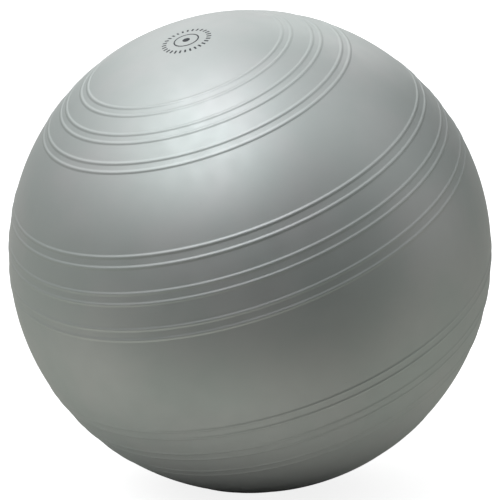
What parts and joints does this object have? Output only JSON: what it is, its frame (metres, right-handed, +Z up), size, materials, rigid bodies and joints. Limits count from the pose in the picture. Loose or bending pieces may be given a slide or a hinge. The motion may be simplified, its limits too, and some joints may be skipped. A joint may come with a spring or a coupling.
{
  "type": "exercise ball",
  "caption": "Inflatable exercise ball with raised grip ribs in pairs, a recessed valve seat and a push-in valve plug, resting on a floor.",
  "frame": {"origin": "centre of the flat patch where the ball rests, on the floor", "axes": "+Z up; -Y is the front, the side that the moulding axis's printed end leans towards; the valve is at the lower back, towards +Y; +X to the right seen from the front"},
  "size_m": [0.6498, 0.6511, 0.6488],
  "materials": {
    "skin_pvc": "satin silver-grey soft PVC",
    "seat_pvc": "satin grey soft PVC",
    "plug_plastic": "satin off-white moulded plastic",
    "print_ink": "matt dark blue-grey ink"
  },
  "bodies": {
    "ball": {"ball_skin": "skin_pvc", "valve_seat": "seat_pvc", "printed_mark": "print_ink"},
    "plug": {"valve_plug": "plug_plastic"}
  },
  "joints": [
    {"name": "plug_pull", "type": "slide", "parent": "ball", "child": "plug", "axis": [0, 0.4147, -0.91], "range_m": [0, 0.023]}
  ]
}
